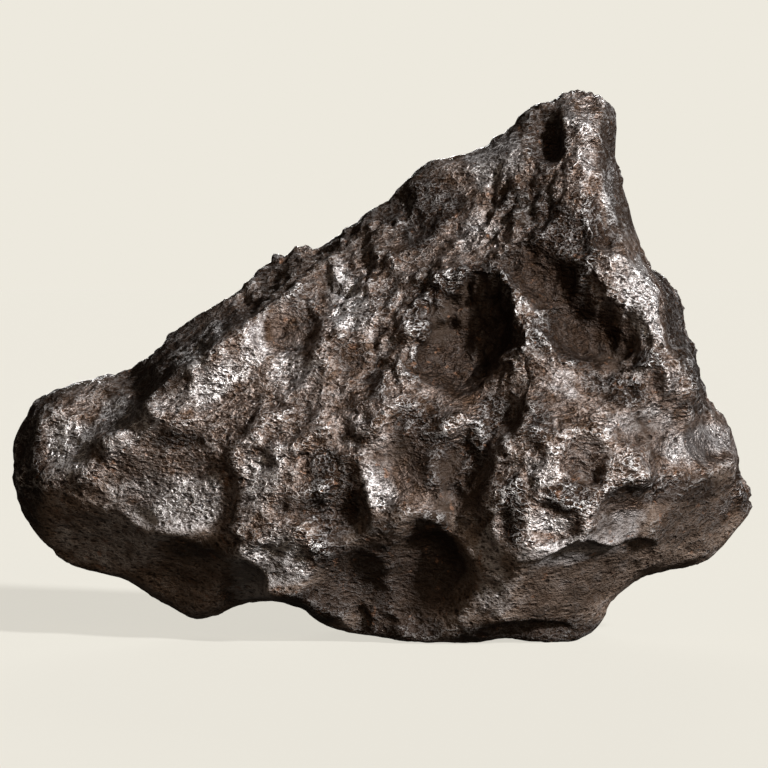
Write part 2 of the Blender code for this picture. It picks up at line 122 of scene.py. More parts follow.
# Single points of the front sheet: faces under the keel, then rows going up
frontSpots = [
    (-101, 35, -17), (-90, 31, -20), (-76, 26, -22), (-65, 17, -20), (-61, 30, -31), (-51, 31, -40),
    (-50, 22, -36), (-42, 22, -45), (-34, 21, -48), (-25, 21, -47), (-14, 11, -34), (-2, 9, -37),
    (10, 7, -39), (22, 7, -39), (34, 11, -43), (46, 12, -48), (58, 11, -48), (68, 15, -44),
    (77, 23, -36), (88, 30, -31), (102, 36, -20), (114, 43, -13), (30, 24, -46), (16, 24, -44),
    (0, 26, -44), (-12, 28, -42), (50, 25, -54), (65, 26, -52), (82, 33, -44), (95, 44, -34),
    (107, 51, -26), (-88, 58, -37), (-72, 60, -38), (-38, 58, -48), (-27, 61, -50), (-17, 62, -51),
    (-3, 64, -55), (12, 66, -55), (19, 64, -54), (54, 66, -60), (64, 66, -59), (80, 65, -55),
    (93, 67, -47), (105, 70, -37), (113, 69, -28), (-62, 78, -40), (-47, 79, -41), (-33, 81, -45),
    (-19, 83, -46), (-4, 84, -48), (12, 85, -49), (28, 84, -50), (60, 82, -55), (76, 80, -52),
    (93, 80, -42), (104, 81, -31), (-52, 92, -37), (-38, 98, -35), (-21, 100, -40), (-4, 102, -42),
    (10, 106, -43), (28, 108, -43), (60, 100, -47), (73, 94, -48), (84, 90, -47), (93, 99, -39),
    (102, 98, -30), (94, 88, -44), (103, 88, -33), (-30, 110, -30), (-14, 116, -31), (4, 122, -31),
    (20, 127, -34), (34, 128, -39), (56, 122, -38), (64, 118, -38), (70, 110, -41), (80, 103, -42),
    (77, 127, -40), (85, 124, -38), (92, 119, -32), (87, 111, -41), (95, 108, -31), (-8, 132, -20),
    (8, 139, -20), (22, 146, -21), (30, 138, -29), (40, 148, -27), (52, 140, -34), (60, 150, -31),
    (62, 176, -16), (64, 160, -26), (50, 166, -17), (42, 166, -16), (34, 160, -14), (24, 155, -13),
    (12, 149, -12), (-107, 68, -20), (-104, 80, -17), (-95, 85, -14), (-68, 103, -14),
    (-59, 107, -15), (-50, 113, -14), (-41, 121, -12), (-32, 127, -12), (-24, 129.5, -11),
]

backLines = [
    # the spine that climbs to the peak
    [(-112, 58, 14), (-92, 60, 24), (-72, 66, 32), (-50, 74, 40), (-26, 84, 46), (-4, 96, 48),
     (18, 110, 46), (36, 128, 38), (50, 148, 28), (60, 168, 17)],
    # the edge above the faces that turn under
    [(-66, 18, 10), (-50, 26, 22), (-30, 28, 32), (-8, 24, 42), (14, 26, 50), (38, 28, 56),
     (60, 32, 56), (82, 38, 50), (100, 48, 38), (114, 54, 24)],
]

backSpots = [
    (-96, 40, 14), (-80, 40, 22), (-56, 46, 32), (-32, 54, 42), (-6, 58, 52), (20, 62, 58),
    (44, 66, 62), (66, 70, 58), (88, 74, 44), (104, 70, 30), (50, 100, 54), (72, 100, 46),
    (90, 100, 32), (64, 126, 36), (78, 134, 24), (70, 152, 18), (-96, 74, 14), (-76, 84, 18),
    (-56, 98, 20), (-38, 112, 20), (-22, 122, 20), (-4, 132, 20), (14, 146, 16), (34, 160, 14),
    (-24, 16, 28), (-6, 6, 34), (10, 4, 38), (30, 4, 40), (50, 4, 40), (64, 8, 38), (78, 22, 34),
    (96, 32, 26), (28, 88, 56), (4, 76, 54),
]

# Scooped hollows: side, centre across and up, width, height, turn in degrees, depth
hollows = [
    # broad faces, cut nearly flat so that they meet in edges
    ("front", -64, 107, 34, 10, 38, 1.5), ("front", -92, 79, 20, 14, 30, 2.5),
    ("front", -83, 89, 11, 16, -35, 3), ("front", -96, 36, 34, 24, -20, 2.5),
    ("front", -67, 27, 34, 26, 0, 3.5), ("front", 64, 20, 66, 24, 8, 2),
    ("front", 106, 46, 34, 20, 14, 1.5), ("front", -34, 30, 24, 16, 0, 2),
    ("front", 20, 138, 34, 26, 30, 2.5), ("front", 48, 146, 26, 34, 0, 2),
    ("front", 60, 86, 30, 20, -10, 2), ("front", 90, 74, 34, 20, 0, 2.5),
    ("front", -60, 84, 34, 18, 20, 2), ("front", -20, 84, 34, 22, -20, 2.5),
    # the left end and the left half
    ("front", -78, 57, 44, 28, -6, 2), ("front", -54, 53, 9, 28, -14, 2),
    ("front", -107, 68, 16, 18, 0, 2), ("front", -89, 79, 9, 9, 0, 1.5),
    ("front", -34, 106, 21, 24, -10, 5.5),
    ("front", -20, 122, 10, 16, 10, 3.5), ("front", -45, 117, 14, 8, 38, 2),
    ("front", -12, 96, 14, 20, 0, 3), ("front", -49, 24, 12, 24, 0, 1.5),
    ("front", -31, 47, 18, 13, -10, 3.5), ("front", -26, 61, 16, 13, -30, 4),
    ("front", -14, 72, 13, 12, 0, 3), ("front", -14, 48, 18, 22, 22, 4.5),
    # the bowl in the middle and the great hollow under it
    ("front", 5, 63, 29, 28, 0, 4.5), ("front", 3, 77, 9, 8, 0, 2),
    ("front", 4, 26, 50, 36, 12, 4), ("front", 14, 26, 32, 42, -16, 9),
    ("front", 19, 37, 15, 14, 0, 4), ("front", -11, 22, 26, 24, 0, 4),
    ("front", -9, 11, 8, 11, 10, 3), ("front", 0, 9, 9, 8, 0, 2),
    # the pit, and the gully that runs down from it
    ("front", 26, 104, 33, 44, -6, 13), ("front", 25, 96, 20, 22, 0, 3),
    ("front", 26, 60, 17, 36, -24, 6), ("front", 37, 44, 10, 16, 0, 2),
    ("front", 41, 80, 9, 18, -16, 3),
    # the right shoulder and the right block
    ("front", 56, 122, 38, 20, -48, 8), ("front", 71, 105, 38, 21, -26, 9),
    ("front", 60, 108, 14, 16, 0, 3), ("front", 76, 86, 13, 10, -20, 3.5),
    ("front", 90, 90, 6, 14, 0, 3), ("front", 65, 64, 15, 24, 10, 3.5),
    ("front", 55, 45, 17, 14, -10, 1.5), ("front", 79, 48, 24, 24, 0, 2.5),
    ("front", 109, 69, 22, 17, 0, 3), ("front", 84, 76, 20, 12, 0, 2),
    # the peak
    ("front", 9, 143, 24, 14, 28, 2.5), ("front", 54, 171, 11, 20, 0, 5),
    ("front", 73, 137, 12, 7, 0, 4), ("front", 33, 152, 18, 18, 20, 2),
    ("front", 48, 8, 34, 7, 0, 3),
    # the back, close together as on the front
    ("back", -100, 60, 24, 26, 10, 4), ("back", -82, 50, 26, 18, -20, 4),
    ("back", -84, 72, 22, 14, 20, 3), ("back", -62, 44, 22, 26, 10, 5),
    ("back", -60, 66, 26, 20, 30, 4), ("back", -56, 88, 34, 18, 36, 5),
    ("back", -36, 58, 24, 34, -12, 6), ("back", -40, 36, 22, 16, 0, 4),
    ("back", -30, 92, 22, 26, 20, 5), ("back", -30, 116, 26, 14, 20, 3),
    ("back", -10, 74, 26, 22, -30, 6), ("back", -12, 46, 26, 24, 15, 7),
    ("back", -6, 108, 24, 28, 30, 5), ("back", -16, 24, 24, 14, -20, 4),
    ("back", 14, 58, 24, 30, -10, 6), ("back", 16, 88, 30, 24, 24, 8),
    ("back", 12, 126, 26, 20, 40, 4), ("back", 18, 30, 28, 18, 0, 5),
    ("back", 40, 72, 24, 22, 12, 5), ("back", 44, 100, 36, 28, 35, 9),
    ("back", 36, 46, 20, 20, 0, 4), ("back", 40, 140, 24, 22, 50, 5),
    ("back", 50, 20, 34, 14, 0, 4), ("back", 62, 54, 30, 26, -25, 7),
    ("back", 66, 84, 26, 32, 10, 7), ("back", 64, 122, 24, 30, 20, 6),
    ("back", 58, 160, 16, 26, 25, 4), ("back", 84, 44, 22, 18, 20, 4),
    ("back", 88, 68, 22, 24, -10, 5), ("back", 86, 100, 18, 26, 10, 4),
    ("back", 104, 52, 22, 20, 0, 4), ("back", 22, 112, 12, 12, 0, 3),
    ("back", 76, 66, 9, 9, 0, 2), ("back", -24, 76, 10, 12, 0, 2.5),
    ("back", 26, 70, 10, 10, 0, 2), ("back", -50, 54, 10, 10, 0, 2),
    # both ends, the underside and the shoulder
    ("left", 0, 58, 16, 22, 0, 1), ("right", 0, 58, 18, 24, 0, 3), ("right", 2, 100, 16, 26, 0, 3),
    ("right", -6, 158, 10, 30, 0, 2), ("under", 34, 0, 30, 40, 0, 7), ("under", -40, 0, 26, 24, 0, 3),
    ("under", 4, -6, 26, 26, 0, 4), ("under", 88, 0, 24, 20, 0, 3), ("top", -58, 0, 22, 14, 0, 2),
]

# Across, up and into the mass, for each side that a hollow is cut from
sides = {
    "front": ((1, 0, 0), (0, 0, 1), (0, 1, 0)),
    "back": ((1, 0, 0), (0, 0, 1), (0, -1, 0)),
    "left": ((0, 1, 0), (0, 0, 1), (1, 0, 0)),
    "right": ((0, 1, 0), (0, 0, 1), (-1, 0, 0)),
    "under": ((1, 0, 0), (0, 1, 0), (0, 0, 1)),
    "top": ((1, 0, 0), (0, 1, 0), (0, 0, -1)),
}

# Places of the front: centre across and up, width, height, turn in degrees, strength.
# First those given painted light, then those given painted shade, then the worn planes with little relief.
paintedLightPlaces = [
    (88, 117, 22, 30, -20, 1.0), (95, 92, 12, 12, -20, 0.4), (67, 168, 7, 30, 0, 0.5),
    (75, 149, 5, 36, -8, 1.2), (107, 69, 24, 12, 0, 0.8), (54, 45, 16, 9, 0, 0.9),
    (34, 36, 10, 16, 0, 0.6), (86, 78, 24, 10, 0, 0.6), (62, 36, 40, 9, 4, 1.0),
    (80, 43, 22, 12, 20, 1.2), (-70, 46, 34, 14, 8, 1.0), (-65, 53, 36, 14, 0, 0.8),
    (-107, 67, 17, 20, 0, 0.9), (-91, 79, 12, 12, 0, 1.2), (-42, 104, 12, 24, -30, 0.8),
    (-60, 88, 40, 14, 38, 0.4), (-84, 74, 34, 9, 38, 0.6), (-32, 94, 16, 16, 0, 0.6),
    (-38, 29, 26, 26, 0, 1.2), (-12, 117, 13, 24, 14, 1.0), (4, 98, 12, 16, 0, 0.6),
    (-46, 58, 10, 30, 0, 0.5), (-3, 55, 11, 18, 40, 0.9), (31, 137, 14, 14, 0, 0.7),
    (38, 166, 20, 22, -20, 1.0), (35, 20, 12, 24, 0, 0.5), (-90, 38, 40, 22, 0, 0.5),
    (-64, 103, 26, 14, 38, 1.0), (60, 178, 8, 8, 0, 0.8), (-4, 74, 20, 12, 0, 0.3),
    (52, 62, 10, 18, 0, 0.7), (60, 90, 12, 12, 0, 0.5), (13, 90, 10, 12, 0, 0.9),
    (24, 71, 10, 10, 0, 0.5), (-40, 63, 12, 14, 0, 0.6), (-58, 89, 22, 12, 38, 0.9),
]

# places given painted shade
paintedShadePlaces = [
    (25, 107, 38, 46, -6, 1.0), (56, 122, 38, 20, -48, 1.0), (67, 104, 34, 20, -26, 1.0),
    (30, 68, 13, 38, -24, 0.9), (35, 80, 12, 14, 0, 1.0), (1, 24, 44, 38, 10, 0.8),
    (15, 34, 22, 26, 0, 1.0), (-122, 55, 12, 50, 0, 1.0), (-81, 91, 15, 13, 40, 0.8),
    (-51, 56, 6, 26, -10, 0.4), (-70, 71, 22, 8, 0, 0.9), (-60, 114, 50, 10, 38, 0.4),
    (-29, 117, 12, 16, 0, 0.6), (-18, 50, 20, 26, 0, 0.9), (-21, 63, 11, 14, 0, 0.9),
    (10, 148, 30, 22, 30, 1.0), (-1, 117, 10, 14, 0, 0.6), (-2, 128, 20, 20, 0, 0.4),
    (53, 170, 14, 18, 0, 1.0), (54, 142, 34, 20, -45, 1.0), (68, 141, 8, 24, 0, 1.0),
    (72, 137, 15, 7, 0, 1.0), (48, 6, 56, 15, 0, 1.0), (79, 88, 16, 11, -20, 1.0),
    (87, 97, 13, 9, 0, 0.9), (104, 81, 20, 6, -10, 0.7), (76, 114, 6, 10, 0, 0.6),
    (-24, 16, 28, 16, 0, 1.0), (-20, 36, 14, 14, 0, 0.9), (13, 81, 14, 12, 0, 0.7),
    (17, 62, 15, 18, 0, 1.0), (8, 53, 8, 14, 0, 0.4), (7, 77, 13, 18, 0, 0.9), (42, 54, 9, 12, 0, 0.8),
    (-36, 107, 10, 16, 0, 0.5), (102, 105, 50, 13, -73, 1.0), (122, 56, 8, 34, 0, 0.7),
    (62, 66, 12, 14, 0, 0.5), (96, 54, 50, 12, 0, 0.8), (-64, 34, 22, 8, 0, 0.7),
    (51, 77, 8, 16, 0, 0.7), (51, 107, 8, 12, 0, 0.9), (60, 53, 18, 12, 0, 1.0),
    (-29, 80, 12, 12, 0, 0.5), (69, 90, 12, 8, 0, 0.7), (25, 124, 16, 10, 0, 1.0),
    (60, 134, 10, 10, 0, 0.8), (17, 119, 20, 18, 0, 1.0), (4, 8, 34, 12, 0, 1.0),
    (15, 44, 14, 8, 0, 1.0), (42, 44, 7, 16, 0, 0.9), (-3, 88, 11, 14, 0, 0.6), (-2, 43, 12, 8, 0, 0.7),
    (-12, 99, 11, 14, 0, 0.7), (102, 45, 44, 18, 10, 0.6), (53, 158, 10, 14, 0, 0.6),
]

levelPlaces = [
    (-62, 82, 64, 24, 38, 0.75), (-72, 54, 44, 26, 0, 0.5), (-38, 30, 26, 26, 0, 0.4),
    (-106, 67, 18, 20, 0, 0.5), (88, 118, 22, 30, -20, 0.7), (66, 168, 12, 36, 0, 0.6),
    (108, 69, 32, 20, 0, 0.7), (84, 76, 28, 14, 0, 0.5), (64, 62, 18, 24, 10, 0.5),
    (80, 48, 24, 22, 0, 0.6), (56, 42, 18, 16, 0, 0.6), (3, 62, 26, 26, 0, 0.5),
    (-98, 84, 24, 14, 20, 0.5), (98, 95, 14, 16, 0, 0.5),
]


def insetOutline():
    # the outline drawn in a little, where the edge is thin enough to be rounded
    flat = [Vector((x, z)) for x, z, _, _ in outline]
    inset = []
    for i, point in enumerate(flat):
        run = (flat[(i + 1) % len(flat)] - flat[i - 1]).normalized()
        wide = outline[i][3] >= body["baseHalfWidth"]
        inset.append(point + Vector((run.y, -run.x)) * (0 if wide else body["edgeInset"]))
    return inset


def sheetTriangles(lines, spots):
    # the points inside the outline, and the triangles that join them along every line
    flat = insetOutline()
    rim = len(flat)
    points = []
    edges = []
    for line in lines:
        first = rim + len(points)
        points.extend(line)
        edges.extend((first + i, first + i + 1) for i in range(len(line) - 1))
    points.extend(spots)
    flat.extend(Vector((x, z)) for x, z, _ in points)
    insideOnly, closest = 1, 1e-5
    result = delaunay_2d_cdt(flat, edges, [list(range(rim))[::-1]], insideOnly, closest)
    source = [origin[0] for origin in result[3]]
    triangles = [[source[i] for i in face] for face in result[2]]
    return points, triangles


def addSheet(vertices, faces, lines, spots, rimStart, facingFront):
    points, triangles = sheetTriangles(lines, spots)
    rim = len(outline)
    innerStart = len(vertices)
    vertices.extend((x, y, z) for x, z, y in points)
    for triangle in triangles:
        face = [rimStart + i if i < rim else innerStart + i - rim for i in triangle]
        a, b, c = [Vector((vertices[i][0], vertices[i][2])) for i in face]
        if ((b - a).cross(c - a) > 0) != facingFront:
            face.reverse()
        faces.append(face)


def cageMesh():
    # front sheet, back sheet and the band round the edge, fullest along the outline
    rim = len(outline)
    inset = insetOutline()
    vertices = [(p.x, y - half, p.y) for p, (_, _, y, half) in zip(inset, outline)]
    vertices += [(x, y, z) for x, z, y, _ in outline]
    vertices += [(p.x, y + half, p.y) for p, (_, _, y, half) in zip(inset, outline)]
    faces = []
    for i in range(2 * rim):
        j = i + 1 if (i + 1) % rim else i + 1 - rim
        faces.append([i, j, rim + j, rim + i])
    addSheet(vertices, faces, frontLines, frontSpots, 0, True)
    addSheet(vertices, faces, backLines, backSpots, 2 * rim, False)
    mesh = bpy.data.meshes.new("cage")
    mesh.from_pydata([Vector(v) * mm for v in vertices], [], faces)
    print("cage:", len(faces), "faces")
    return mesh


def evaluatedMesh(item):
    graph = bpy.context.evaluated_depsgraph_get()
    return bpy.data.meshes.new_from_object(item.evaluated_get(graph), depsgraph=graph)


def withModifier(mesh, kind, **settings):
    # the mesh as one modifier leaves it
    item = bpy.data.objects.new("work", mesh)
    bpy.context.scene.collection.objects.link(item)
    modifier = item.modifiers.new(kind.lower(), kind)
    for name, value in settings.items():
        setattr(modifier, name, value)
    result = evaluatedMesh(item)
    bpy.data.objects.remove(item)
    return result


def readPoints(mesh):
    points = np.empty(len(mesh.vertices) * 3)
    mesh.vertices.foreach_get("co", points)
    return points.reshape(-1, 3) / mm


def readNormals(mesh):
    mesh.update()
    normals = np.empty(len(mesh.vertices) * 3)
    mesh.vertex_normals.foreach_get("vector", normals)
    return normals.reshape(-1, 3)


def writePoints(mesh, points):
    mesh.vertices.foreach_set("co", (points * mm).ravel())
    mesh.update()


def readEdges(mesh):
    edges = np.empty(len(mesh.edges) * 2, dtype=np.int64)
    mesh.edges.foreach_get("vertices", edges)
    return edges.reshape(-1, 2)


def addAttribute(mesh, name, values):
    layer = mesh.attributes.new(name, "FLOAT", "POINT")
    layer.data.foreach_set("value", np.ascontiguousarray(values, dtype=np.float32))


def smoothed(values, edges, rounds):
    # each row moves halfway to the mean of its neighbours, several times
    count, width = values.shape
    both = np.concatenate([edges, edges[:, ::-1]])
    degree = np.bincount(both[:, 0], minlength=count)
    for _ in range(rounds):
        near = values[both[:, 1]]
        mean = np.stack([np.bincount(both[:, 0], near[:, k], count) / degree for k in range(width)], 1)
        values = (values + mean) / 2
    return values


def ease(values, low, high):
    # 0 below low, 1 above high, and a soft step between
    t = np.clip((values - low) / (high - low), 0, 1)
    return t * t * (3 - 2 * t)


def slowNoise(points, length, shift):
    return np.array([noise.noise(Vector(p) / length + Vector(shift)) for p in points])


def scoop(points, normals, drift, hollow):
    # one listed hollow, its rim let wander
    side, across, up, width, height, turn, depth = hollow
    right, rise, into = (np.array(v, float) for v in sides[side])
    u = points @ right - across
    v = points @ rise - up
    angle = math.radians(turn)
    along = (u * math.cos(angle) + v * math.sin(angle)) / (width / 2)
    over = (v * math.cos(angle) - u * math.sin(angle)) / (height / 2)
    reach = np.hypot(along, over) * (1 + body["rimWander"] * drift)
    facing = normals @ -into > 0.1
    return bowl(points, normals, u, v, reach, facing, depth)


def bowl(points, normals, u, v, reach, facing, depth):
    # cut down from the mean plane of the rim, which is where reach is 1
    inner, outer = body["rimBand"]
    ring = facing & (reach > inner) & (reach < outer)
    if ring.sum() < 6:
        return points
    out = normals[facing & (reach < outer)].mean(0)
    out /= np.linalg.norm(out)
    level = points @ out
    terms = np.stack([np.ones(ring.sum()), u[ring], v[ring]], 1)
    plane = np.linalg.lstsq(terms, level[ring], rcond=None)[0]
    lean = body["hollowLean"] * np.clip(u / (np.abs(u[ring]).mean() + 1e-6), -1.3, 1.3)
    floor = plane[0] + plane[1] * u + plane[2] * v + depth * (reach ** 2 - 1) * (1 + lean)
    soft = min(body["rimSoftness"], depth / 4)
    cut = soft * np.logaddexp(0, (level - floor) / soft)
    end = body["rimFadeEnd"]
    near = (reach < end) & (normals @ out > -0.1) & (np.abs(level - plane[0]) < 30)
    fade = np.clip((end - reach) / body["rimFadeWidth"], 0, 1)
    return points - out * (cut * fade * near)[:, None]


def smallScoops(points, normals, calm):
    # many small dents between the listed hollows, none on calm or sideways faces
    rng = np.random.default_rng(body["seed"])
    for _ in range(body["smallHollows"]):
        centre = int(rng.integers(len(points)))
        width = rng.uniform(*body["smallHollowWidth"])
        depth = width * rng.uniform(*body["smallHollowDepth"])
        stretch = rng.uniform(*body["smallHollowStretch"])
        turn = rng.uniform(0, math.pi)
        if calm[centre] > rng.random() or abs(normals[centre][1]) < 0.4:
            continue
        near = np.flatnonzero(np.abs(points - points[centre]).max(1) < width * 1.2)
        out = Vector(normals[centre])
        across = np.array(out.orthogonal().normalized())
        rise = np.array(out.cross(Vector(across)))
        local = points[near] - points[centre]
        u, v = local @ across, local @ rise
        along = (u * math.cos(turn) + v * math.sin(turn)) * 2 / (width * stretch)
        over = (v * math.cos(turn) - u * math.sin(turn)) * 2 * stretch / width
        facing = normals[near] @ normals[centre] > 0.3
        points[near] = bowl(points[near], normals[near], u, v, np.hypot(along, over), facing, depth)
    return points


def placed(points, drift, places):
    # how strongly each point belongs to the listed places, softened at their edges
    total = np.zeros(len(points))
    for across, up, width, height, turn, strength in places:
        u, v = points[:, 0] - across, points[:, 2] - up
        angle = math.radians(turn)
        along = (u * math.cos(angle) + v * math.sin(angle)) * 2 / width
        over = (v * math.cos(angle) - u * math.sin(angle)) * 2 / height
        reach = np.hypot(along, over) * (1 + 0.5 * drift)
        total = np.maximum(total, strength * (1 - ease(reach, 0.6, 1.4)))
    return total


def addPlaces(mesh, points, drift):
    # painted light and shade in listed places on the front, patches of slow noise behind
    front = ease(-points[:, 1], -4, 8)
    bright, dark = placed(points, drift, paintedLightPlaces), placed(points, drift, paintedShadePlaces)
    behind = slowNoise(points, body["backPatchLength"], (1.3, 9.2, 4.4)) * body["backPatchStrength"]
    addAttribute(mesh, "paintedLightAndTone", front * (bright * (1 - dark) - dark) + (1 - front) * behind)
    addAttribute(mesh, "level", front * placed(points, drift, levelPlaces))


def skinMesh():
    # the cage as a skin of small even faces, softened, swollen and made lumpy
    mesh = withModifier(cageMesh(), "REMESH", mode="VOXEL", voxel_size=body["voxel"] * mm)
    writePoints(mesh, smoothed(readPoints(mesh), readEdges(mesh), body["smoothRounds"]))
    points = readPoints(mesh) + readNormals(mesh) * body["swell"]
    writePoints(mesh, points)
    lumps = slowNoise(points, body["lumpLength"], (0, 0, 0)) * body["lumpHeight"]
    writePoints(mesh, points + readNormals(mesh) * lumps[:, None])
    mesh = withModifier(mesh, "SUBSURF", levels=1, render_levels=1)
    print("skin:", len(mesh.vertices), "points")
    return mesh


def bodyMesh():
    mesh = skinMesh()
    points, normals = readPoints(mesh), readNormals(mesh)
    broad = smoothed(normals, readEdges(mesh), body["facingRounds"])
    broad /= np.linalg.norm(broad, axis=1)[:, None]
    under = ease(-broad[:, 2], 0.1, 0.4)
    besidePeak = ease(broad[:, 0], 0.55, 0.8) * ease(points[:, 2], 130, 142)
    # faces turned up and left, given painted shade in the finish
    turned = ease(broad @ np.array(body["paintedShadeWay"]), 0.35, 0.95)
    calm = np.maximum(under * 0.85, besidePeak * 0.6)
    drift = slowNoise(points, body["driftLength"], (7.1, 3.3, 5.7))

    before = points.copy()
    for hollow in hollows:
        points = scoop(points, normals, drift, hollow)
    sunk = np.linalg.norm(points - before, axis=1) / body["fullySunk"]
    print("hollows cut:", len(hollows))
    writePoints(mesh, points)
    points = smallScoops(points, readNormals(mesh), calm)
    print("small hollows cut")
    writePoints(mesh, points)

    addPlaces(mesh, points, drift)
    # painted shade on the faces turned up and left, and darker faces beside the peak
    addAttribute(mesh, "paintedShadeSides", np.maximum(turned, besidePeak))
    addAttribute(mesh, "calm", np.maximum(calm, turned * 0.5))
    addAttribute(mesh, "sunk", np.clip(sunk, 0, 1))
    return mesh


def addNode(tree, kind, inputs=None, **settings):
    # a node with its inputs linked or set, by name or by number
    node = tree.nodes.new(kind)
    for name, value in settings.items():
        setattr(node, name, value)
    for name, value in (inputs or {}).items():
        socket = node.inputs[name]
        if isinstance(value, bpy.types.NodeSocket):
            tree.links.new(value, socket)
        else:
            socket.default_value = value
    return node


def maths(tree, operation, a, b=0.0, c=0.0):
    return addNode(tree, "ShaderNodeMath", {0: a, 1: b, 2: c}, operation=operation).outputs[0]


# what a user would change in the fine relief, in metres; each is an input of the node tree
relief = {
    "Wrinkle Height": 0.0030,
    "Wrinkle Size": 0.0062,
    "Scallop Depth": 0.0034,
    "Scallop Size": 0.0075,
    "Clod Height": 0.0050,
    "Clod Size": 0.0052,
    "Clods Start": 0.075,  # height where scallops begin to give way to clods
    "Clods Full": 0.105,
    "Upright Stretch": 2.0,
    "Level Stretch": 1.5,
    "Bend Scale": 130.0,
    "Bend Reach": 0.006,  # how far the bending shifts the pattern
    "Uneven Scale": 45.0,
    "Least Share": 0.25,  # share of the relief that the smoothest stretches keep
    "Seed": 4.0,
}


def reliefTree(material):
    # wrinkles everywhere, level scallops lower down and upright clods above
    tree = bpy.data.node_groups.new("meltedRelief", "GeometryNodeTree")
    face = tree.interface
    face.new_socket("Geometry", in_out="INPUT", socket_type="NodeSocketGeometry")
    for name in relief:
        face.new_socket(name, in_out="INPUT", socket_type="NodeSocketFloat")
    face.new_socket("Geometry", in_out="OUTPUT", socket_type="NodeSocketGeometry")
    given = addNode(tree, "NodeGroupInput").outputs
    position = addNode(tree, "GeometryNodeInputPosition").outputs[0]
    normal = addNode(tree, "GeometryNodeInputNormal").outputs[0]
    calm, level = (addNode(tree, "GeometryNodeInputNamedAttribute", {"Name": name}).outputs["Attribute"]
                   for name in ("calm", "level"))
    bend = addNode(tree, "ShaderNodeTexNoise", {"Vector": position, "Scale": given["Bend Scale"],
                                                "Detail": 3.0})
    shift = addNode(tree, "ShaderNodeVectorMath", {0: bend.outputs["Color"], "Scale": given["Bend Reach"]},
                    operation="SCALE").outputs[0]
    bent = addNode(tree, "ShaderNodeVectorMath", {0: position, 1: shift}, operation="ADD").outputs[0]

    def drawnOut(name, axis):
        # the place looked up, squeezed so that the pattern is drawn out along one axis
        tight = maths(tree, "DIVIDE", 1.0, given[name])
        squeeze = addNode(tree, "ShaderNodeCombineXYZ", {k: tight if k == axis else 1.0 for k in "XYZ"})
        return addNode(tree, "ShaderNodeVectorMath", {0: bent, 1: squeeze.outputs[0]},
                       operation="MULTIPLY").outputs[0]

    def wrinkles(place):
        value = addNode(tree, "ShaderNodeTexNoise",
                        {"Vector": place, "W": given["Seed"], "Detail": 4.0, "Roughness": 0.6,
                         "Scale": maths(tree, "DIVIDE", 1.0, given["Wrinkle Size"])},
                        noise_dimensions="4D").outputs[0]
        fold = maths(tree, "ABSOLUTE", maths(tree, "SUBTRACT", value, 0.5))
        return maths(tree, "MULTIPLY", maths(tree, "SUBTRACT", 0.1, fold),
                     maths(tree, "MULTIPLY", given["Wrinkle Height"], 4.0))

    def cells(place, size, rise):
        value = addNode(tree, "ShaderNodeTexVoronoi",
                        {"Vector": place, "Scale": maths(tree, "DIVIDE", 1.0, given[size]),
                         "Detail": 1.5, "Roughness": 0.5, "Smoothness": 0.12}, feature="SMOOTH_F1")
        return maths(tree, "MULTIPLY", maths(tree, "SUBTRACT", value.outputs["Distance"], 0.45), rise)

    across, upright = drawnOut("Level Stretch", "X"), drawnOut("Upright Stretch", "Z")
    scallops = maths(tree, "ADD", wrinkles(across), cells(across, "Scallop Size", given["Scallop Depth"]))
    clodRise = maths(tree, "MULTIPLY", given["Clod Height"], -1.0)
    clods = maths(tree, "ADD", wrinkles(upright), cells(upright, "Clod Size", clodRise))
    height = addNode(tree, "ShaderNodeSeparateXYZ", {0: bent}).outputs["Z"]
    high = addNode(tree, "ShaderNodeMapRange", {"Value": height, "From Min": given["Clods Start"],
                                                "From Max": given["Clods Full"]},
                   interpolation_type="SMOOTHSTEP").outputs[0]
    both = addNode(tree, "ShaderNodeMix", {0: high, 2: scallops, 3: clods}).outputs[0]

    # less of it in some stretches, on calm faces and on the worn planes
    uneven = addNode(tree, "ShaderNodeTexNoise", {"Vector": position, "Scale": given["Uneven Scale"],
                                                  "Detail": 1.0}).outputs[0]
    amount = addNode(tree, "ShaderNodeMapRange", {"Value": uneven, "From Min": 0.38, "From Max": 0.62,
                                                  "To Min": given["Least Share"], "To Max": 1.0}).outputs[0]
    amount = maths(tree, "MULTIPLY", amount, maths(tree, "MULTIPLY_ADD", calm, -0.8, 1.0))
    amount = maths(tree, "MULTIPLY", amount, maths(tree, "SUBTRACT", 1.0, level))
    rise = maths(tree, "MULTIPLY", both, amount)
    offset = addNode(tree, "ShaderNodeVectorMath", {0: normal, "Scale": rise}, operation="SCALE").outputs[0]
    moved = addNode(tree, "GeometryNodeSetPosition", {"Geometry": given["Geometry"], "Offset": offset})
    whole = addNode(tree, "GeometryNodeRealizeInstances", {"Geometry": moved.outputs[0]})
    finished = addNode(tree, "GeometryNodeSetMaterial", {"Geometry": whole.outputs[0], "Material": material})
    addNode(tree, "NodeGroupOutput", {"Geometry": finished.outputs[0]})
    return tree


def withRelief(mesh, material):
    item = bpy.data.objects.new("relief", mesh)
    bpy.context.scene.collection.objects.link(item)
    modifier = item.modifiers.new("relief", "NODES")
    modifier.node_group = reliefTree(material)
    for entry in modifier.node_group.interface.items_tree:
        if entry.in_out == "INPUT" and entry.name in relief:
            modifier[entry.identifier] = relief[entry.name]
    result = evaluatedMesh(item)
    bpy.data.objects.remove(item)
    print("fine relief added")
    return result


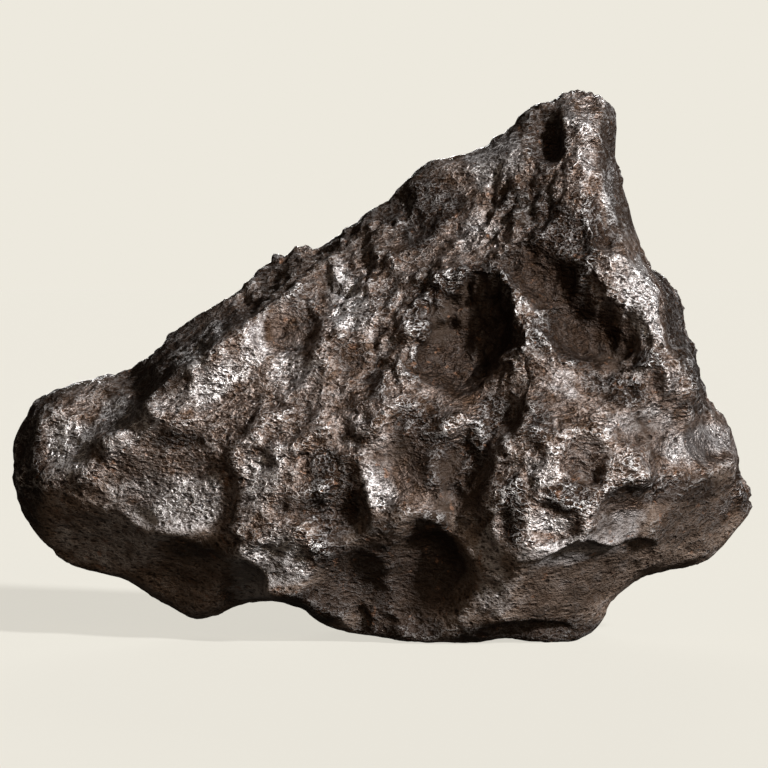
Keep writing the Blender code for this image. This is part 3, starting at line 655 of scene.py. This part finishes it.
# what a user would change in the finish; colours are linear, sizes and the mark depth in metres
finish = {
    "darkIron": (0.066, 0.039, 0.024, 1),
    "greyIron": (0.205, 0.155, 0.130, 1),
    # silver for random patches and painted light in the lit places
    "silverIronAndPaintedLight": (0.285, 0.257, 0.244, 1),
    # rubbed wear and painted glints on the crests
    "rubbedIronAndGlint": (0.720, 0.700, 0.685, 1),
    "paintedShadeColour": (0.012, 0.006, 0.003, 1),  # painted shade in dark places, hollows, the valleys of the fine folds and pits
    "rust": (0.024, 0.014, 0.008, 1),
    "fleck": (0.120, 0.062, 0.036, 1),
    "brownCrust": (0.120, 0.085, 0.062, 1),  # on faces that turn under
    "mottleSize": 0.006,
    "stainSize": 0.022,
    "rustSize": 0.011,
    "fleckSize": 0.0042,
    "foldSize": 0.0032,
    "creaseSize": 0.0015,
    "pitSpacing": 0.0042,
    "grainSize": 0.0009,
    "markSqueeze": (0.75, 0.75, 1.25),  # draws the finest marks out level
    "markDepth": 0.0016,
    # how fully the painted shade covers
    "paintedShadeCover": 0.92,
    "roughness": 0.52,
}


def ironMaterial():
    # iron with its weathering, and painted light and shade
    material = bpy.data.materials.new("weatheredIronWithPaintedLight")
    material.use_nodes = True
    tree = material.node_tree
    shader = tree.nodes["Principled BSDF"]
    place = addNode(tree, "ShaderNodeTexCoord").outputs["Object"]
    flow = addNode(tree, "ShaderNodeVectorMath", {0: place, 1: finish["markSqueeze"]},
                   operation="MULTIPLY").outputs[0]

    def attribute(name):
        return addNode(tree, "ShaderNodeAttribute", attribute_name=name).outputs["Fac"]

    def noiseAt(size, detail, roughness=0.6, where=place):
        return addNode(tree, "ShaderNodeTexNoise", {"Vector": where, "Scale": 1 / size, "Detail": detail,
                                                    "Roughness": roughness}).outputs[0]

    def marks(size, detail, roughness):
        # 0 along thin winding lines, more between them
        value = noiseAt(size, detail, roughness, flow)
        return maths(tree, "ABSOLUTE", maths(tree, "SUBTRACT", value, 0.5))

    def ranged(value, low, high, start=0.0, end=1.0):
        return addNode(tree, "ShaderNodeMapRange", {"Value": value, "From Min": low, "From Max": high,
                                                    "To Min": start, "To Max": end}).outputs[0]

    def blend(amount, first, second):
        return addNode(tree, "ShaderNodeMix", {0: amount, 6: first, 7: second}, data_type="RGBA").outputs[2]

    def times(a, b):
        return maths(tree, "MULTIPLY", a, b)

    def most(first, *others):
        for other in others:
            first = maths(tree, "MAXIMUM", first, other)
        return first

    paintedLightAndTone, wornAndGlint, paintedCavityShade = attribute("paintedLightAndTone"), attribute("wornAndGlint"), attribute("paintedCavityShade")
    sunk, calm, paintedShadeSides = attribute("sunk"), attribute("calm"), attribute("paintedShadeSides")
    mottle = noiseAt(finish["mottleSize"], 6.0, 0.65)
    folds = marks(finish["foldSize"], 4.0, 0.55)
    creases = marks(finish["creaseSize"], 3.0, 0.5)

    # small round pits in some of the cells
    speck = addNode(tree, "ShaderNodeTexVoronoi", {"Vector": place, "Scale": 1 / finish["pitSpacing"]})
    chosen = addNode(tree, "ShaderNodeSeparateColor", {0: speck.outputs["Color"]}).outputs[0]
    pits = times(ranged(speck.outputs["Distance"], 0.12, 0.24, 1.0, 0.0), ranged(chosen, 0.55, 0.6))

    # bare iron, with brown crust on calm faces, and silver in random patches and as painted light in the lit
    # places
    colour = blend(ranged(mottle, 0.38, 0.66), finish["darkIron"], finish["greyIron"])
    colour = blend(times(calm, ranged(mottle, 0.25, 0.5)), colour, finish["brownCrust"])
    patch = maths(tree, "SUBTRACT", mottle, 0.5)
    paintedLightAndSilver = ranged(maths(tree, "MULTIPLY_ADD", patch, 2.0, paintedLightAndTone), 0.1, 0.9)
    colour = blend(paintedLightAndSilver, colour, finish["silverIronAndPaintedLight"])

    # painted shade in dark places, hollows, the valleys of the fine folds and pits, on the faces turned up
    # and left, and darker beside the peak
    paintedShadeMask = ranged(maths(tree, "MULTIPLY_ADD", paintedLightAndTone, -1.0, patch), 0.0, 0.8)
    creaseShade = ranged(maths(tree, "MULTIPLY_ADD", folds, 0.6, creases), 0.09, 0.21, 0.0, 0.9)
    paintedShadeMask = most(paintedShadeMask, times(sunk, 0.6), paintedShadeSides, most(paintedCavityShade, creaseShade), times(pits, 0.9))
    colour = blend(times(paintedShadeMask, finish["paintedShadeCover"]), colour, finish["paintedShadeColour"])

    # rust in the hollows and in patches, and small flecks of it
    rustMask = times(ranged(sunk, 0.3, 1.0), ranged(noiseAt(finish["stainSize"], 4.0), 0.5, 0.66))
    rustMask = most(rustMask, ranged(noiseAt(finish["rustSize"], 5.0, 0.7), 0.62, 0.70))
    colour = blend(rustMask, colour, finish["rust"])
    flecks = ranged(noiseAt(finish["fleckSize"], 3.0, 0.6), 0.64, 0.70, 0.0, 0.7)
    colour = blend(flecks, colour, finish["fleck"])

    # crests rubbed bright as wear and painted glints, fewest in hollows and on calm faces
    crest = most(ranged(folds, 0.0, 0.035, 1.0, 0.0), ranged(creases, 0.0, 0.03, 0.7, 0.0))
    rubAndGlint = times(crest, most(ranged(wornAndGlint, 0.3, 1.0, 0.2, 0.8), paintedLightAndSilver))
    rubAndGlint = times(rubAndGlint, maths(tree, "SUBTRACT", 1.0, most(times(calm, 0.8), times(sunk, 0.9))))
    rubAndGlint = times(rubAndGlint, ranged(mottle, 0.38, 0.58, 0.4, 1.2))
    colour = blend(rubAndGlint, colour, finish["rubbedIronAndGlint"])
    tree.links.new(colour, shader.inputs["Base Color"])

    shader.inputs["Specular IOR Level"].default_value = 0.15
    dull = most(rustMask, times(calm, 0.6))
    tree.links.new(ranged(dull, 0.0, 0.6, 0.85, 0.2), shader.inputs["Metallic"])
    gloss = maths(tree, "MULTIPLY_ADD", most(rubAndGlint, paintedLightAndSilver), -0.08, finish["roughness"])
    tree.links.new(maths(tree, "MULTIPLY_ADD", dull, 0.15, gloss), shader.inputs["Roughness"])

    grit = maths(tree, "MULTIPLY_ADD", folds, -1.7, times(creases, -0.4))
    grit = maths(tree, "MULTIPLY_ADD", pits, -0.4, grit)
    grit = maths(tree, "MULTIPLY_ADD", noiseAt(finish["grainSize"], 2.0, 0.5), 0.15, grit)
    bump = addNode(tree, "ShaderNodeBump", {"Height": grit, "Distance": finish["markDepth"], "Strength": 1.0})
    tree.links.new(bump.outputs[0], shader.inputs["Normal"])
    return material


# what a user would change in the wear, the painted glints and the painted shade in recesses: rounds of
# smoothing, and steps in mm from the smoothed surface
wearAndShade = {
    "nearRounds": 8,
    "farRounds": 90,
    "fineRise": (0.0, 0.3),
    "broadRise": (0.0, 2.5),
    "fineDip": (0.05, 0.35),
    "broadDip": (0.2, 2.2),
}


def addWearGlintAndShade(mesh):
    # rubbed bright as wear and painted glints where the surface stands out from its own smoothed self,
    # painted shade where it lies below
    points, normals, edges = readPoints(mesh), readNormals(mesh), readEdges(mesh)
    near = smoothed(points, edges, wearAndShade["nearRounds"])
    far = smoothed(near, edges, wearAndShade["farRounds"])
    fine = ((points - near) * normals).sum(1)
    broad = ((near - far) * normals).sum(1)
    rubbedAndGlint = ease(fine, *wearAndShade["fineRise"]) * 0.6 + ease(broad, *wearAndShade["broadRise"]) * 0.4
    paintedShadeBelow = ease(-fine, *wearAndShade["fineDip"]) * 0.7 + ease(-broad, *wearAndShade["broadDip"]) * 0.5
    addAttribute(mesh, "wornAndGlint", rubbedAndGlint)
    addAttribute(mesh, "paintedCavityShade", np.clip(paintedShadeBelow, 0, 1))
    print("wear added")


def fitted(points):
    # level the feet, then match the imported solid's box
    points = points.copy()
    floor = points[:, 2].min() + body["footLevel"]
    points[:, 2] = np.maximum(points[:, 2] - floor, 0)
    low, high = points.min(0), points.max(0)
    cadLow, cadHigh = (np.array(corner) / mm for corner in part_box("meteorite"))
    return cadLow + (points - low) * (cadHigh - cadLow) / (high - low)


def buildMeteorite():
    material = ironMaterial()
    mesh = withRelief(bodyMesh(), material)
    writePoints(mesh, fitted(readPoints(mesh)))
    addWearGlintAndShade(mesh)
    mesh.shade_smooth()
    piece = bpy.data.objects.new("meteorite_surface", mesh)
    bpy.context.scene.collection.objects.link(piece)
    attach(piece, "root")
    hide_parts("meteorite")
    print("meteorite:", len(mesh.polygons), "faces")


# what a user would change in the studio, in metres and degrees
studio = {
    "backdrop": (0.847, 0.815, 0.730, 1),
    "ambientTint": (1, 0.88, 0.76, 1),
    "ambient": 0.04,
    "paper": 0.14,  # share of the floor's paleness that comes from the lamps
    "floorHalf": 9,
    "lens": 200.0,
    "distance": 1.442,
    "elevation": 2.0,
    "aim": (0.0, 0.0, 0.0845),
    "farthest": 50,
}

# for each lamp: the way its light travels, strength, width of the source in degrees, colour
lamps = {
    "key": ((-0.70, 0.58, -0.5), 8.8, 6, (0.97, 0.98, 1)),
    "leftFill": ((0.62, 0.72, -0.3), 0.35, 40, (1, 0.78, 0.58)),
    "lowFill": ((-0.5, 0.85, -0.12), 1.1, 30, (1, 0.84, 0.68)),
    "backKey": ((0.0, -0.98, -0.2), 3.5, 20, (1, 1, 1)),
}


def buildBackdrop():
    # the camera sees the pale backdrop, while the piece is lit by a dim warm one
    world = bpy.data.worlds.new("studio")
    world.use_nodes = True
    tree = world.node_tree
    backdrop = tree.nodes["Background"]
    backdrop.inputs["Color"].default_value = studio["backdrop"]
    dim = addNode(tree, "ShaderNodeBackground", {"Color": studio["ambientTint"],
                                                 "Strength": studio["ambient"]})
    seen = addNode(tree, "ShaderNodeLightPath").outputs["Is Camera Ray"]
    mix = addNode(tree, "ShaderNodeMixShader", {0: seen, 1: dim.outputs[0], 2: backdrop.outputs[0]})
    tree.links.new(mix.outputs[0], tree.nodes["World Output"].inputs["Surface"])
    bpy.context.scene.world = world
    print("backdrop ready")


def buildFloor():
    half = studio["floorHalf"]
    mesh = bpy.data.meshes.new("floor")
    mesh.from_pydata([(-half, -half, 0), (half, -half, 0), (half, half, 0), (-half, half, 0)], [],
                     [(0, 1, 2, 3)])
    floor = bpy.data.objects.new("floor", mesh)
    bpy.context.scene.collection.objects.link(floor)
    paper = bpy.data.materials.new("paper")
    paper.use_nodes = True
    shader = paper.node_tree.nodes["Principled BSDF"]
    # the floor's own glow makes up what the lamps leave short of the backdrop
    fallen = sum(strength * -Vector(way).normalized().z for way, strength, _, _ in lamps.values())
    lit = studio["ambient"] + fallen / math.pi
    pale = Vector(studio["backdrop"][:3])
    shader.inputs["Base Color"].default_value = (*(pale * studio["paper"]), 1)
    shader.inputs["Roughness"].default_value = 1.0
    shader.inputs["Specular IOR Level"].default_value = 0.0
    shader.inputs["Emission Color"].default_value = studio["backdrop"]
    shader.inputs["Emission Strength"].default_value = 1 - studio["paper"] * lit
    mesh.materials.append(paper)
    floor.visible_diffuse = False
    floor.visible_glossy = False
    print("floor laid")


def buildLamps():
    for name, (way, strength, width, tint) in lamps.items():
        light = bpy.data.lights.new(name, "SUN")
        light.energy = strength
        light.color = tint
        light.angle = math.radians(width)
        lamp = bpy.data.objects.new(name, light)
        lamp.rotation_euler = Vector(way).to_track_quat("-Z", "Y").to_euler()
        bpy.context.scene.collection.objects.link(lamp)
    print("lamps:", len(lamps))


def buildCamera():
    camera = bpy.data.cameras.new("camera")
    camera.lens = studio["lens"]
    camera.clip_end = studio["farthest"]
    holder = bpy.data.objects.new("camera", camera)
    angle = math.radians(studio["elevation"])
    ahead = Vector((0, math.cos(angle), -math.sin(angle)))
    holder.location = Vector(studio["aim"]) - ahead * studio["distance"]
    holder.rotation_euler = ahead.to_track_quat("-Z", "Y").to_euler()
    bpy.context.scene.collection.objects.link(holder)
    bpy.context.scene.camera = holder
    print("camera set")


buildMeteorite()
buildBackdrop()
buildFloor()
buildLamps()
buildCamera()
bpy.context.scene.view_settings.view_transform = "Standard"
